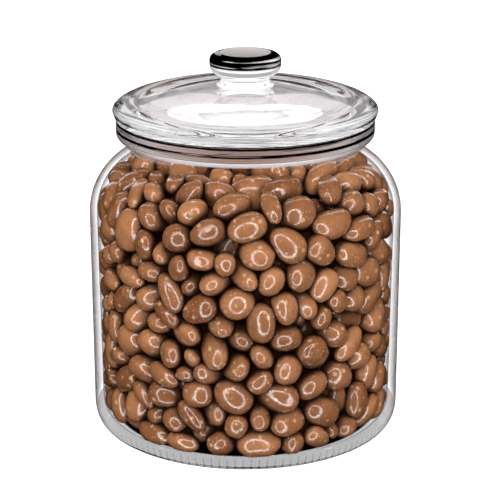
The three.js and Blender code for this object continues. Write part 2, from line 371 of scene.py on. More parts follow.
class Nuts:
    """Loose peanuts, each treated as a short row of balls along its long axis."""

    BALLS = 4
    BALL_REACH = 0.9  # how far towards the tips the outer balls lie
    SPOTS = 120000
    RISE = 3  # mm that a peanut may stand out of the heap's top, or lie under it
    STEPS = 620
    GROWN_BY = 0.55  # share of the steps in which the peanuts grow to full size
    START_SIZE = 0.55
    PAIRED_EVERY = 12  # steps after which the neighbours are found again
    PAIR_MARGIN = 3 * MM
    PART = 0.45  # share of an overlap by which each of two peanuts gives way
    TRIES = 7000  # places tried for one more peanut in the top of the heap
    SQUEEZE = 0.6 * MM
    LOOSENESS = 0.45  # how much the flat side turns away from the glass

    def __init__(self, seed):
        rng = np.random.default_rng(seed)
        spots, volume = self.free_space(rng)
        kinds = list(NUT_KINDS.values())
        sizes = np.array([kind["size"] for kind in kinds]) * MM / 2
        share = np.array([kind["share"] for kind in kinds])
        one = 4 / 3 * math.pi * (share * sizes.prod(1)).sum()
        self.count = int(NUT_FILL * volume / one)
        self.kind = rng.choice(len(kinds), self.count, p=share)
        self.scale = rng.uniform(*NUT_SPREAD, self.count)
        self.half_length = sizes[self.kind, 0] * self.scale
        self.half_width = sizes[self.kind, 1:].mean(1) * self.scale
        self.middle = spots[rng.choice(len(spots), self.count, replace=False)].copy()
        self.axis = unit(rng.normal(size=(self.count, 3)))
        self.rise = rng.uniform(-self.RISE, self.RISE, self.count) * MM
        self.roll = rng.normal(size=(self.count, 3))
        self.tone = rng.uniform(size=self.count)
        focus = np.maximum(self.half_length ** 2 - self.half_width ** 2, 1e-12)
        share_along = np.linspace(-self.BALL_REACH, self.BALL_REACH, self.BALLS)
        self.along = share_along[None] * (focus / self.half_length)[:, None]
        self.ball = self.half_width[:, None] * np.sqrt(1 - self.along ** 2 / focus[:, None])
        self.spin = (self.half_length ** 2 + self.half_width ** 2) / 5

    def free_space(self, rng):
        """Random places inside the glass, under the heap's top and round the core, and their volume."""
        low = np.array([-BODY_RADIUS, -BODY_RADIUS, FLOOR_THICKNESS])
        high = np.array([BODY_RADIUS, BODY_RADIUS, HEAP_LEVEL + 2 * HEAP_SLOPE])
        places = rng.uniform(low, high, (self.SPOTS, 3))
        x, y, z = places.T
        core = (np.hypot(x, y) < CORE_RADIUS) & (z < heap_top(x, y) - CORE_DEPTH)
        free = (glass_gap(places)[0] > 0) & (z < heap_top(x, y)) & ~core
        return places[free], free.mean() * (high - low).prod()

    def push(self, index, direction, depth, lever, part=1.0):
        """Moves and turns peanuts so that a ball of each leaves what it reached into."""
        step = part * depth / (1 + lever ** 2 / self.spin[index])
        move = direction * step[:, None]
        turn = direction * (step * lever / self.spin[index])[:, None]
        for k in range(3):
            self.middle[:, k] += np.bincount(index, move[:, k], self.count)
            self.axis[:, k] += np.bincount(index, turn[:, k], self.count)

    def deepest(self, depth):
        """For each peanut the ball that reaches deepest, and where it reaches in at all."""
        ball = depth.argmax(1)
        worst = depth[np.arange(len(depth)), ball]
        index = np.nonzero(worst > 0)[0]
        return index, ball[index], worst[index]

    def settle(self):
        """Grows the peanuts from small to full size while they push each other into place."""
        for step in range(self.STEPS):
            grown = min(1.0, self.START_SIZE + (1 - self.START_SIZE) * step / (self.STEPS * self.GROWN_BY))
            if step % self.PAIRED_EVERY == 0:
                apart = np.linalg.norm(self.middle[:, None] - self.middle[None], axis=-1)
                reach = (self.half_length[:, None] + self.half_length[None]) * grown + self.PAIR_MARGIN
                pairs = np.nonzero(np.triu(apart < reach, 1))
            radius = np.hypot(self.middle[:, 0], self.middle[:, 1])[:, None]
            self.middle[:, :2] *= 1 + OUTWARD_DRIFT / radius
            self.middle[:, 2] -= DOWNWARD_DRIFT
            self.part_neighbours(pairs, grown)
            self.keep_inside(grown)
            self.axis = unit(self.axis)

    def balls(self, grown):
        """The middles of every peanut's balls."""
        return self.middle[:, None] + (self.along * grown)[..., None] * self.axis[:, None]

    def part_neighbours(self, pairs, grown):
        """Pushes apart the peanuts that reach into each other."""
        one, two = pairs
        balls = self.balls(grown)
        between = balls[one][:, :, None] - balls[two][:, None]
        distance = np.linalg.norm(between, axis=-1) + 1e-9
        radii = self.ball * grown
        depth = (radii[one][:, :, None] + radii[two][:, None] - distance).reshape(len(one), -1)
        hit, worst, overlap = self.deepest(depth)
        a, b = worst // self.BALLS, worst % self.BALLS
        direction = between[hit, a, b] / distance[hit, a, b][:, None]
        lever_one = self.along[one[hit], a] * grown
        lever_two = self.along[two[hit], b] * grown
        self.push(one[hit], direction, overlap, lever_one, self.PART)
        self.push(two[hit], -direction, overlap, lever_two, self.PART)

    def keep_inside(self, grown):
        """Holds the peanuts off the glass and the core, and under the heap's top."""
        balls, radii = self.balls(grown), self.ball * grown
        gap, away = glass_gap(balls)
        index, ball, depth = self.deepest(radii + NUT_CLEARANCE - gap)
        self.push(index, away[index, ball], depth, self.along[index, ball] * grown)
        balls = self.balls(grown)
        low = radii + FLOOR_THICKNESS + NUT_CLEARANCE - balls[..., 2]
        index, ball, depth = self.deepest(low)
        upwards = np.tile([0.0, 0.0, 1.0], (len(index), 1))
        self.push(index, upwards, depth, self.along[index, ball] * grown)
        high = balls[..., 2] + radii - heap_top(balls[..., 0], balls[..., 1]) - self.rise[:, None]
        index, ball, depth = self.deepest(high)
        downwards = np.tile([0.0, 0.0, -1.0], (len(index), 1))
        self.push(index, downwards, depth, self.along[index, ball] * grown, 0.5)
        x, y, z = self.middle.T
        radius = np.hypot(x, y)
        low = z < heap_top(x, y) - CORE_DEPTH
        short = np.where(low, np.maximum(CORE_RADIUS + self.half_width / 2 - radius, 0), 0) / radius / 2
        self.middle[:, 0] += x * short
        self.middle[:, 1] += y * short

    def fill_hollows(self, rng):
        """Lays more peanuts into the holes that are left in the top of the heap."""
        for _ in range(self.TRIES):
            one = rng.integers(self.count)
            reach, angle = NECK_RADIUS * math.sqrt(rng.uniform()), rng.uniform(0, 2 * math.pi)
            x, y = reach * math.cos(angle), reach * math.sin(angle)
            place = np.array([x, y, heap_top(x, y) - CORE_DEPTH * rng.uniform()])
            axis = unit(rng.normal(size=3) * (1, 1, 0.6))
            balls, radii = place + self.along[one][:, None] * axis, self.ball[one]
            apart = np.linalg.norm(self.balls(1.0)[:, :, None] - balls, axis=-1)
            if (apart < self.ball[..., None] + radii - self.SQUEEZE).any():
                continue
            high = balls[:, 2] + radii > heap_top(balls[:, 0], balls[:, 1]) + MM
            low = balls[:, 2] - radii < HEAP_LEVEL - CORE_DEPTH - 2 * MM
            near_glass = glass_gap(balls)[0] < radii + NUT_CLEARANCE
            if not (high | low | near_glass).any():
                self.add_copy(one, place, axis)

    def add_copy(self, one, place, axis):
        """One more peanut of the same kind and size, in another place."""
        copied = "kind scale half_length half_width rise roll tone along ball spin"
        for name in copied.split():
            values = getattr(self, name)
            setattr(self, name, np.concatenate([values, values[one:one + 1]]))
        self.middle = np.vstack([self.middle, place])
        self.axis = np.vstack([self.axis, axis])
        self.count += 1

    def turns(self):
        """Each peanut's rotation: its length along its axis, and its flat side mostly towards the glass."""
        out = self.middle * np.array([1, 1, 0])
        third = unit(np.cross(self.axis, np.cross(unit(out) + self.LOOSENESS * self.roll, self.axis)))
        second = np.cross(third, self.axis)
        spins = np.stack([self.axis, second, third], -1)
        return np.array([Matrix(m.tolist()).to_euler() for m in spins])


def unit(vectors):
    """The same directions at length 1."""
    return vectors / np.maximum(np.linalg.norm(vectors, axis=-1, keepdims=True), 1e-12)


def nut_form(name, kind, detail, seed):
    """One peanut: an uneven egg, bent and tapered, with soft lumps and small beads of chocolate."""
    rng = np.random.default_rng(seed)
    shape = bmesh.new()
    bmesh.ops.create_icosphere(shape, subdivisions=detail, radius=1)
    ball = np.array([v.co for v in shape.verts])
    length, width, thickness = np.array(kind["size"]) * MM / 2
    blunt = rng.uniform(2.0, 2.35)
    x, y, z = (ball / (np.abs(ball) ** blunt).sum(1, keepdims=True) ** (1 / blunt)).T
    taper = kind["taper"] * rng.uniform(0.4, 1.5)
    bend = kind["bend"] * rng.uniform(0.3, 1.3)
    swell = 1 + taper * x - 0.5 * taper * taper
    places = np.stack([
        length * x,
        width * (y * swell + bend * (0.4 - x * x)),
        thickness * z * swell * np.where(z < 0, rng.uniform(0.86, 1.0), 1.0),
    ], 1)
    swelling = np.zeros(len(ball))
    for _ in range(7):  # soft lumps and hollows
        spot = unit(rng.normal(size=3))
        swelling += rng.normal(0, 0.026) * np.exp((ball @ spot - 1) / rng.uniform(0.12, 0.5))
    for _ in range(rng.integers(0, 4)):  # small beads of chocolate
        spot = unit(rng.normal(size=3))
        swelling += rng.uniform(0.03, 0.07) * np.exp((ball @ spot - 1) / rng.uniform(0.012, 0.03))
    if rng.uniform() < 0.15:  # a drawn-out tip
        swelling += rng.uniform(0.06, 0.14) * np.exp((ball[:, 0] - 1) / 0.05)
    places *= (1 + swelling)[:, None]
    for vertex, place in zip(shape.verts, places):
        vertex.co = place
    mesh = bpy.data.meshes.new(name)
    shape.to_mesh(mesh)
    shape.free()
    mesh.shade_smooth()
    return bpy.data.objects.new(name, mesh)


# ---------------------------------------------------------------- node sheets

class Sheet:
    """A node tree that is filled in one node at a time."""

    def __init__(self, tree):
        self.tree = tree

    def node(self, kind, settings=None, values=None):
        """Adds a node. Its settings are made first, then each socket gets a value or a link."""
        made = self.tree.nodes.new(kind)
        for key, setting in (settings or {}).items():
            if key == "stops":
                for element, (place, colour) in zip(self.stops(made, len(setting)), setting):
                    element.position, element.color = place, colour
            else:
                setattr(made, key, setting)
        for key, value in (values or {}).items():
            socket = made.inputs[key]
            if isinstance(value, Wire):
                self.tree.links.new(value.socket, socket)
            elif isinstance(value, bpy.types.NodeSocket):
                self.tree.links.new(value, socket)
            else:
                socket.default_value = value
        return made

    @staticmethod
    def stops(made, count):
        elements = made.color_ramp.elements
        while len(elements) < count:
            elements.new(1.0)
        return elements

    def wire(self, made, output=0):
        return Wire(self, made.outputs[output])


class Wire:
    """One number on its way through a node sheet. Sums on it add Math nodes."""

    def __init__(self, sheet, socket):
        self.sheet, self.socket = sheet, socket

    def math(self, operation, *others, clamp=False):
        made = self.sheet.node(
            "ShaderNodeMath",
            {"operation": operation, "use_clamp": clamp},
            dict(enumerate((self, *others))),
        )
        return self.sheet.wire(made)

    def __add__(self, other):
        return self.math("ADD", other)

    __radd__ = __add__

    def __mul__(self, other):
        return self.math("MULTIPLY", other)

    __rmul__ = __mul__

    def __sub__(self, other):
        return self.math("SUBTRACT", other)

    def __rsub__(self, other):
        return (self * -1.0).math("ADD", other)

    def clamped(self):
        return self.math("ADD", 0.0, clamp=True)

    def near(self, middle, half, soft):
        """1 close to a value, 0 away from it."""
        return 1.0 - (self - middle).math("ABSOLUTE").step(half, half + soft)

    def step(self, low, high):
        """0 below low, 1 above high, and a smooth rise between them."""
        made = self.sheet.node(
            "ShaderNodeMapRange",
            {"interpolation_type": "SMOOTHSTEP"},
            {"Value": self, "From Min": low, "From Max": high},
        )
        return self.sheet.wire(made)


class Finish(Sheet):
    """A material's node sheet."""

    def __init__(self, name):
        self.material = bpy.data.materials.new(name)
        self.material.use_nodes = True
        super().__init__(self.material.node_tree)
        self.tree.nodes.clear()
        self.place = self.wire(self.node("ShaderNodeTexCoord"), "Object")

    def noise(self, scale, detail=2.0, roughness=0.5, distortion=0.0, place=None):
        made = self.node("ShaderNodeTexNoise", None, {
            "Vector": place or self.place,
            "Scale": scale,
            "Detail": detail,
            "Roughness": roughness,
            "Distortion": distortion,
        })
        return self.wire(made, "Fac")

    def dots(self, scale, inner, outer, rare):
        """Small round dots. rare is the share of places that have none."""
        cells = self.node("ShaderNodeTexVoronoi", {"feature": "F1"}, {"Vector": self.place, "Scale": scale})
        chance = self.wire(self.node("ShaderNodeSeparateXYZ", None, {0: cells.outputs["Color"]}), "X")
        return (1.0 - self.wire(cells, "Distance").step(inner, outer)) * chance.step(rare, rare + 0.04)

    def outside(self):
        """1 where the eye meets a surface from outside the piece, 0 from inside it."""
        return 1.0 - self.wire(self.node("ShaderNodeNewGeometry"), "Backfacing")

    def facing(self):
        """0 where the surface faces the eye, 1 where it is seen edge on."""
        return self.wire(self.node("ShaderNodeLayerWeight", None, {"Blend": 0.5}), "Facing")

    def axes(self):
        """The place's x, y and z, and its distance from the jar's axis."""
        split = self.node("ShaderNodeSeparateXYZ", None, {0: self.place})
        x, y, z = (self.wire(split, key) for key in "XYZ")
        return x, y, z, (x * x + y * y).math("SQRT")

    def streaks(self, low, high):
        """1 in thin level streaks, 0 between them."""
        return self.level_noise(22, 700, 3.0).step(low, high)

    def level_noise(self, along, up, detail):
        """Noise drawn out level round the jar. along and up are its scales in those directions."""
        scales = (along, along, up)
        flat = self.node("ShaderNodeVectorMath", {"operation": "MULTIPLY"}, {0: self.place, 1: scales})
        return self.noise(1.0, detail, 0.6, 0.0, flat.outputs[0])

    def mixed(self, share, one, two):
        """A colour between two others."""
        made = self.node("ShaderNodeMix", {"data_type": "RGBA"})
        for index, value in ((0, share), (6, one), (7, two)):
            if isinstance(value, (Wire, bpy.types.NodeSocket)):
                self.tree.links.new(getattr(value, "socket", value), made.inputs[index])
            else:
                made.inputs[index].default_value = value
        return made.outputs[2]

    def bumped(self, height, strength, distance):
        made = self.node("ShaderNodeBump", None, {
            "Height": height,
            "Strength": strength,
            "Distance": distance,
        })
        return made.outputs["Normal"]

    def finish(self, surface):
        self.node("ShaderNodeOutputMaterial", None, {"Surface": surface})
        return self.material


# ---------------------------------------------------------------- finishes

def milk_chocolate(name):
    """Polished milk chocolate: mottled brown with pale beads and specks, and a soft thin shine.

    Its colour has painted shade: it is darker deep in the heap and where another peanut is near, standing in
    for the shade that the peanuts cast on each other, and its shine is weaker deep in the heap.
    """
    sheet = Finish(name)
    tone = sheet.wire(sheet.node("ShaderNodeAttribute", {"attribute_name": "tone"}), "Fac")
    mottle = sheet.noise(130, 4.0, 0.6)
    brown = sheet.mixed((tone * 0.7 + mottle * 0.9 - 0.3).clamped(), DARK_BROWN, LIGHT_BROWN)
    # The pale beads and specks are partly the chocolate's own paler spots and partly a painted highlight
    # where the small bumps catch the light.
    bead = sheet.dots(210, 0.20, 0.31, 0.55)
    speck = sheet.dots(560, 0.18, 0.34, 0.55)
    colour = sheet.mixed((bead * 0.75 + speck * 0.55).clamped(), brown, BEAD_BROWN)
    # Painted shade: the colour darkens inwards from the glass, following the shoulder, and downwards from
    # the heap's top.
    z, radius = sheet.axes()[2:]
    rise = (z - SHOULDER_START).math("MAXIMUM", 0.0)
    inset = SHOULDER_RADIUS - (SHOULDER_RADIUS ** 2 - rise * rise).math("MAXIMUM", 0.0).math("SQRT")
    top = z.step(HEAP_LEVEL - CORE_DEPTH, HEAP_LEVEL - SHOWN_DEPTH)
    outer = (radius + inset).step(DEEP_RADIUS, SHOWN_RADIUS).math("MAXIMUM", top)
    # Painted shade: ambient occlusion darkens the colour where another peanut is closer than SHADE_REACH.
    occlusion_shade = sheet.node("ShaderNodeAmbientOcclusion", {"samples": 8}, {"Distance": SHADE_REACH})
    free = sheet.wire(occlusion_shade, "AO").step(0.25, 0.97)
    colour = sheet.mixed(outer * free, PAINTED_SHADE_BROWN, colour)
    shader = sheet.node("ShaderNodeBsdfPrincipled", None, {
        "Base Color": colour,
        "Roughness": 0.32 + mottle * 0.12,
        "IOR": 1.45,
        "Specular IOR Level": 0.3,
        "Coat Weight": 0.1 + 0.9 * (outer * sheet.noise(200, 2.0, 0.5).step(0.2, 0.5)),
        "Coat Roughness": 0.14,
        "Coat IOR": 1.9,
        "Normal": sheet.bumped(sheet.noise(150, 1.0, 0.4) + bead * 0.3 + speck * 0.04, 0.6, 0.8 * MM),
    })
    return sheet.finish(shader.outputs[0])


def deep_shadow(name):
    """Painted shadow: a near-black brown that stands for the shade in the gaps deep inside the heap."""
    sheet = Finish(name)
    speck = sheet.noise(220, 3.0)
    colour = sheet.mixed(speck, *CORE_SHADOW_BROWNS)
    shader = sheet.node("ShaderNodeBsdfPrincipled", None, {"Base Color": colour, "Roughness": 0.7})
    return sheet.finish(shader.outputs[0])


def clear_glass(name, tint, ripple, ripple_scale, shine, roughness=0.0, plain=None, lines=None):
    """Clear glass. Lamps, soft bounces and glossy glints reach straight through it.

    ripple is the height of its faint waves. plain gives the part of the glass that is thin and even
    enough to show what lies behind it without bending it, and lines where the glass is painted dark,
    standing in for the dark surroundings that its edges bend into view.
    """
    sheet = Finish(name)
    dark = lines(sheet).clamped() if lines else None
    # Painted dark lines: the glass's colour goes to black where lines gives, standing in for the dark
    # surroundings bent into view.
    if lines:
        tint = sheet.mixed(dark, tint, PAINTED_LINE_BLACK)
    height = sheet.level_noise(*ripple_scale, 2.0)
    glass = sheet.node("ShaderNodeBsdfPrincipled", None, {
        "Base Color": tint,
        "Roughness": roughness,
        "IOR": 1.5,
        "Transmission Weight": 1.0,
        "Specular Tint": (shine, shine, shine, 1),
        "Normal": sheet.bumped(height, 1.0, ripple),
    })
    clear = sheet.node("ShaderNodeBsdfTransparent", None, {"Color": UNBENT_TINT})
    path = sheet.node("ShaderNodeLightPath")
    kinds = "Is Shadow Ray", "Is Diffuse Ray", "Is Glossy Ray", "Is Singular Ray"
    shadow, diffuse, glossy, mirror = (sheet.wire(path, key) for key in kinds)
    through = shadow + diffuse + glossy * (1.0 - mirror)
    if plain:
        through = through + plain(sheet) * (1.0 - dark)
    mixed = sheet.node(
        "ShaderNodeMixShader", None, {0: through.clamped(), 1: glass.outputs[0], 2: clear.outputs[0]}
    )
    return sheet.finish(mixed.outputs[0])


def plain_wall(sheet):
    """All of the jar but its rim and floor, less so where the eye meets the wall edge on."""
    z, radius = sheet.axes()[2:]
    body = 1.0 - z.step(PLAIN_TO, PLAIN_TO + 2 * MM)
    base = (1.0 - z.step(BASE_HEIGHT - 1 * MM, BASE_HEIGHT)) * BASE_SHADE
    shade = sheet.facing().step(0.6, 0.95) * EDGE_SHADE
    return body * (1.0 - shade.math("MAXIMUM", base)) * (1.0 - painted_floor_shade(z, radius))


def painted_floor_shade(z, radius):
    """1 on the floor inside the jar, which is painted dark as shade there, where the light is lost between
    the peanuts.
    """
    return z.near(FLOOR_THICKNESS, 0.5 * MM, 0.3 * MM) * (1.0 - radius.step(FLOOR_DARK, FLOOR_CLEAR))


def painted_jar_lines(sheet):
    """Painted dark lines on the lip, the rim and the base, and painted dark ticks round the base like small
    ribs, which stand for the dark surroundings bent into view; a painted dark outline where the wall is seen
    edge on, and the painted shade of the inner floor.
    """
    x, y, z, radius = sheet.axes()
    streak = sheet.streaks(0.52, 0.62)
    lip = z.near(RIM_TOP, 0.7 * MM, 0.2 * MM) * radius.step(RIM_RADIUS - 2 * MM, RIM_RADIUS - 1 * MM)
    rim = z.near(RIM_LINE, 0.8 * MM, 0.3 * MM) * (1.0 - sheet.streaks(0.60, 0.70) * 0.5)
    under = z.near(UNDER_LINE, 0.25 * MM, 0.2 * MM) * 0.8
    band = z.near(STREAK_LINE, 1.2 * MM, 0.5 * MM) * (0.25 + streak * 0.7)
    outer = radius.step(BODY_RADIUS - 6 * MM, BODY_RADIUS - 5 * MM)
    foot = z.near(FOOT_LINE, 0.7 * MM, 0.4 * MM) * outer * (0.7 + streak * 0.3)
    ribs = (y.math("ARCTAN2", x) * BASE_RIBS).math("SINE").step(0.78, 0.97)
    ribs = ribs * (1.0 - z.step(RIB_TOP, RIB_TOP + 1 * MM)) * outer
    # Painted shade: the outside of the wall is painted darker where it is seen edge on.
    outline = sheet.facing().step(0.7, 1.0) * 0.5
    lines = lip + rim + under + band + foot + ribs * 0.6 + outline
    return lines * sheet.outside() + painted_floor_shade(z, radius)


def painted_lid_lines(sheet):
    """Painted dark lines: the dark band of the knob and the lid's edge and brow, which stand for the dark
    surroundings bent into view, and faint threads, clouds and a grey band painted into its dome and margin.
    """
    z, radius = sheet.axes()[2:]
    streak = sheet.streaks(0.58, 0.66)
    knob = z.step(KNOB_BAND, KNOB_BAND + 0.8 * MM) * radius.step(KNOB_DISC - 0.6 * MM, KNOB_DISC)
    edge = 1.0 - z.step(LID_EDGE, LID_EDGE + 0.4 * MM)
    edge = edge * radius.step(RIM_RADIUS - 2 * MM, RIM_RADIUS - 1 * MM)
    brow = z.near(BROW_LINE, 0.8 * MM, 0.6 * MM)
    brow = brow * (0.3 + streak * 0.3 + sheet.facing().step(0.45, 0.85) * 0.6)
    swirl = sheet.noise(55, 3.0, 0.6, 0.8)
    dome = 1.0 - radius.step(DOME_MARGIN - 2 * MM, DOME_MARGIN + 2 * MM)
    dome = radius.step(DOME_CLEAR, DOME_CLEAR + 4 * MM) * dome
    level = sheet.level_noise(14, 420, 3.0).near(0.5, 0.012, 0.03)
    margin = radius.step(DOME_MARGIN, DOME_MARGIN + 4 * MM)
    thread = (swirl.near(0.47, 0.004, 0.012) + swirl.near(0.56, 0.003, 0.01)) * dome * 0.25
    band = level * margin * 0.3 + margin * 0.18
    cloud = swirl.step(0.55, 0.75)
    lines = knob * (1.0 - streak * 0.75) + edge * 0.95 + brow + thread + band + cloud * 0.12
    return lines * sheet.outside()


# ---------------------------------------------------------------- pieces

def finished_glass(piece, clear, ground, ground_above, ground_within):
    """Gives a piece of glass its clear finish, and the ground one inside a radius above a height."""
    piece.data.materials.append(clear)
    piece.data.materials.append(ground)
    for face in piece.data.polygons:
        reach = math.hypot(face.center.x, face.center.y)
        if face.center.z > ground_above and reach < ground_within:
            face.material_index = 1


def make_jar():
    jar = turned("glass_jar", evened(jar_outline(), JAR_STEP), GLASS_SIDES)
    clear = clear_glass("jar_glass", JAR_TINT, 0.04 * MM, (30, 90), 0.05, 0.0, plain_wall, painted_jar_lines)
    ground = clear_glass("ground_rim", RIM_TINT, 0.05 * MM, (60, 900), 0.3, 0.45)
    finished_glass(jar, clear, ground, GROUND_FROM, NECK_RADIUS - WALL + 1 * MM)
    jar.visible_shadow = False
    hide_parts("jar")
    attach(jar, "root")


def make_lid():
    lid = turned("glass_lid", evened(lid_outline(), LID_STEP), GLASS_SIDES)
    clear = clear_glass("lid_glass", LID_TINT, 0.12 * MM, (22, 160), 0.3, lines=painted_lid_lines)
    ground = clear_glass("ground_glass", DISC_TINT, 0.02 * MM, (400, 400), 0.5, 0.4)
    finished_glass(lid, clear, ground, KNOB_TOP - 0.1 * MM, KNOB_DISC - 0.6 * MM)
    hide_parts("lid")
    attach(lid, "root")


def place_nuts_tree():
    """Puts one of several peanut forms on each point, turned and sized by the point's own values."""
    tree = bpy.data.node_groups.new("place_peanuts", "GeometryNodeTree")
    tree.interface.new_socket("Points", in_out="INPUT", socket_type="NodeSocketGeometry")
    for name, kind in (("Forms", "Collection"), ("Size", "Float"), ("Finish", "Material")):
        tree.interface.new_socket(name, in_out="INPUT", socket_type="NodeSocket" + kind)
    tree.interface.new_socket("Peanuts", in_out="OUTPUT", socket_type="NodeSocketGeometry")
    sheet = Sheet(tree)
    given = sheet.node("NodeGroupInput").outputs

    def named(name, kind):
        return sheet.node("GeometryNodeInputNamedAttribute", {"data_type": kind}, {"Name": name}).outputs[0]

    forms = sheet.node("GeometryNodeCollectionInfo", None, {
        "Collection": given["Forms"],
        "Separate Children": True,
        "Reset Children": True,
    })
    turn = sheet.node("FunctionNodeEulerToRotation", None, {0: named("turn", "FLOAT_VECTOR")})
    size = sheet.node("ShaderNodeVectorMath", {"operation": "SCALE"}, {
        0: named("stretch", "FLOAT_VECTOR"),
        "Scale": given["Size"],
    })
    placed = sheet.node("GeometryNodeInstanceOnPoints", None, {
        "Points": given["Points"],
        "Instance": forms.outputs[0],
        "Pick Instance": True,
        "Instance Index": named("form", "INT"),
        "Rotation": turn.outputs[0],
        "Scale": size.outputs[0],
    })
    real = sheet.node("GeometryNodeRealizeInstances", None, {0: placed.outputs[0]})
    finished = sheet.node("GeometryNodeSetMaterial", None, {
        "Geometry": real.outputs[0],
        "Material": given["Finish"],
    })
    sheet.node("NodeGroupOutput", None, {0: finished.outputs[0]})
    return tree


def point_cloud(name, values):
    """A mesh of loose points that carry values for the node tree."""
    mesh = bpy.data.meshes.new(name)
    mesh.from_pydata(values["place"].tolist(), [], [])
    kinds = {"turn": "FLOAT_VECTOR", "stretch": "FLOAT_VECTOR", "form": "INT", "tone": "FLOAT"}
    for key, kind in kinds.items():
        layer = mesh.attributes.new(key, kind, "POINT")
        layer.data.foreach_set("vector" if kind == "FLOAT_VECTOR" else "value", np.ravel(values[key]))
    return linked(name, mesh)


def grown(name, points, tree, settings):
    """Runs a Geometry Nodes tree on points and keeps the result as a plain mesh."""
    modifier = points.modifiers.new("grow", "NODES")
    modifier.node_group = tree
    for item in tree.interface.items_tree:
        if item.in_out == "INPUT" and item.name in settings:
            modifier[item.identifier] = settings[item.name]
    bpy.context.view_layer.update()
    evaluated = points.evaluated_get(bpy.context.evaluated_depsgraph_get())
    mesh = bpy.data.meshes.new_from_object(evaluated)
    mesh.name = name
    bpy.data.objects.remove(points)
    return linked(name, mesh)


def held_off_glass(piece):
    """Presses back whatever would reach into the glass."""
    mesh = piece.data
    places = np.empty(len(mesh.vertices) * 3)
    mesh.vertices.foreach_get("co", places)
    places = places.reshape(-1, 3)
    for _ in range(2):
        gap, away = glass_gap(places)
        places += away * np.maximum(NUT_CLEARANCE - gap, 0)[:, None]
    places[:, 2] = np.maximum(places[:, 2], FLOOR_THICKNESS + NUT_CLEARANCE)
    mesh.vertices.foreach_set("co", places.ravel())
    mesh.update()


def make_peanuts():
    nuts = Nuts(NUT_SEED)
    nuts.settle()
    nuts.fill_hollows(np.random.default_rng(NUT_SEED + 2))
    rng = np.random.default_rng(NUT_SEED + 1)
    gap = glass_gap(nuts.middle)[0]
    buried = heap_top(nuts.middle[:, 0], nuts.middle[:, 1]) - nuts.middle[:, 2]
    shown = (gap < GLASS_NEAR) | (buried < TOP_NEAR)
    turn = nuts.turns()
    tree = place_nuts_tree()
    chocolate = milk_chocolate("milk_chocolate")
    stretch = nuts.scale[:, None] * rng.uniform(0.96, 1.04, (nuts.count, 3))
    for number, (name, kind) in enumerate(NUT_KINDS.items()):
        for layer, detail, chosen in (("", FINE, shown), ("inner_", COARSE, ~shown)):
            mine = np.nonzero((nuts.kind == number) & chosen)[0]
            if len(mine) == 0:
                continue
            forms = bpy.data.collections.new(layer + name + "_forms")
            for form in range(FORMS_PER_KIND):
                forms.objects.link(nut_form(f"{layer}{name}_form_{form}", kind, detail, 100 * number + form))
            points = point_cloud(layer + name + "_points", {
                "place": nuts.middle[mine],
                "turn": turn[mine],
                "stretch": stretch[mine],
                "form": rng.integers(0, FORMS_PER_KIND, len(mine)),
                "tone": nuts.tone[mine],
            })
            settings = {"Forms": forms, "Size": 1.0, "Finish": chocolate}
            piece = grown(f"{layer}{name}_peanuts", points, tree, settings)
            held_off_glass(piece)
            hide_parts("peanut_heap")
            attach(piece, "root")
            for form in list(forms.objects):
                bpy.data.objects.remove(form)
            bpy.data.collections.remove(forms)


def make_core():
    """The hidden middle of the heap, painted near-black as shadow in place of the inner peanuts, which keeps
    the light from showing through its gaps.
    """
    top = HEAP_LEVEL - CORE_DEPTH
    radius = CORE_RADIUS - 4 * MM
    outline = rounded([
        (0, FLOOR_THICKNESS + 2 * MM, 0),
        (radius, FLOOR_THICKNESS + 2 * MM, 8 * MM),
        (radius, top, 12 * MM),
        (0, top, 0),
    ])
    core = turned("heap_core", evened(outline, 4 * MM), 64)
    core.data.materials.append(deep_shadow("deep_shadow"))
    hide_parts("peanut_heap")
    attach(core, "root")


# ---------------------------------------------------------------- studio

VIEW_HEIGHT = 102.8 * MM  # the height on the jar's axis that the camera looks at
VIEW_SIDE = 2.7 * MM
VIEW_DISTANCE = 1.0044
VIEW_ANGLE = math.radians(18)
LENS = 120.5
SENSOR = 36.0

FLOOR_RADIUS = 3.0
FLOOR_DROP = 0.2 * MM  # the floor lies this far under the jar
FLOOR_GLOW = 1.02
# Painted shadow under the jar: the floor's glow and colour are darker inside SHADE_INNER, at UNDER_GLOW of
# the glow, and full outside SHADE_OUTER.
SHADE_INNER = 78 * MM  # the floor is shaded inside this radius, and bright outside the next
SHADE_OUTER = 92 * MM
UNDER_GLOW = 0.88

# The surroundings, by the sine of the height above the horizon
BAND_START = 0.06
BAND_END = 0.30
BAND_SOFT = 0.05
WHITE_LIGHT = 1.05
SKY_LIGHT = 0.85
BAND_LIGHT = 0.5

# Ring lights, in metres
RING_SHAPE = 0.8  # their width as a share of their height
RING_DISTANCE = 0.6
RING_RADIUS = 0.52
RING_BREADTH = 0.18
RING_SIDES = 48

# Soft lamps: where they point, and their power in watts
LAMP_AIM = (0, 0, 0.1)
FRONT_POWER = 28
BACK_POWER = 25
SIDE_POWER = 10


def make_camera():
    data = bpy.data.cameras.new("camera")
    data.lens, data.sensor_width = LENS, SENSOR
    camera = bpy.data.objects.new("camera", data)
    bpy.context.scene.collection.objects.link(camera)
    aim = Vector((VIEW_SIDE, 0, VIEW_HEIGHT))
    away = Vector((0, -math.cos(VIEW_ANGLE), math.sin(VIEW_ANGLE)))
    camera.location = aim + away * VIEW_DISTANCE
    camera.rotation_euler = (-away).to_track_quat("-Z", "Y").to_euler()
    bpy.context.scene.camera = camera


